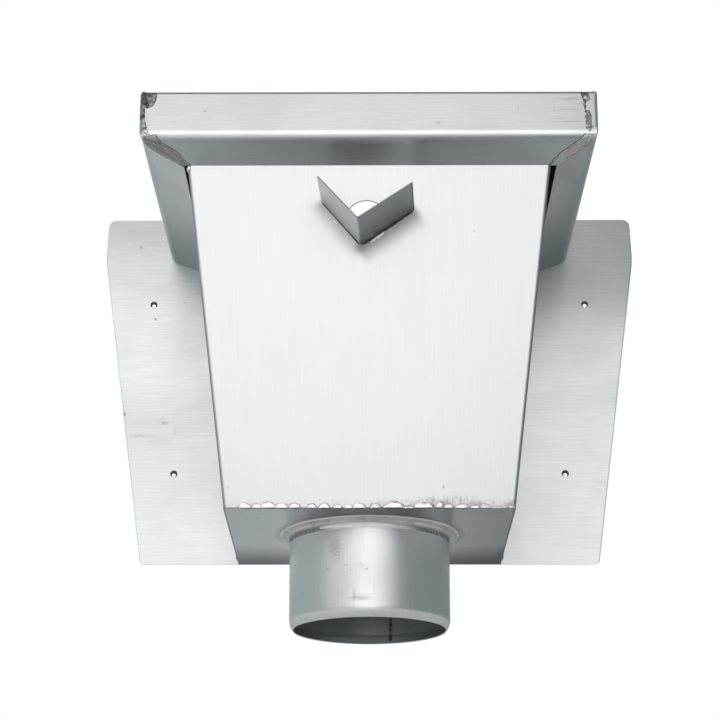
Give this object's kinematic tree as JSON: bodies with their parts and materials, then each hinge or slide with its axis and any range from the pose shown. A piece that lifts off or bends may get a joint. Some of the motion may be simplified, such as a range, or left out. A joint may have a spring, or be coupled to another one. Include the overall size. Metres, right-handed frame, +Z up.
{
  "type": "downpipe hopper head",
  "caption": "Tapered rainwater hopper head of soldered zinc sheet, with a hollow rim, wall plate, round downpipe outlet and an overflow hole above a V-shaped spout.",
  "frame": {"origin": "on the wall, at the back face of the wall plate, midway between the fixing holes", "axes": "+Y into the wall, so the front faces -Y; +Z up; +X to the right of someone facing the wall"},
  "size_m": [0.3578, 0.2306, 0.2995],
  "materials": {
    "zinc": "bare rolled zinc with a fine grain"
  },
  "bodies": {
    "root": {"wall_plate": "zinc", "body_shell": "zinc", "floor_plate": "zinc", "rim_front": "zinc", "rim_left": "zinc", "rim_right": "zinc", "outlet_spigot": "zinc", "overflow_spout": "zinc"}
  },
  "joints": []
}
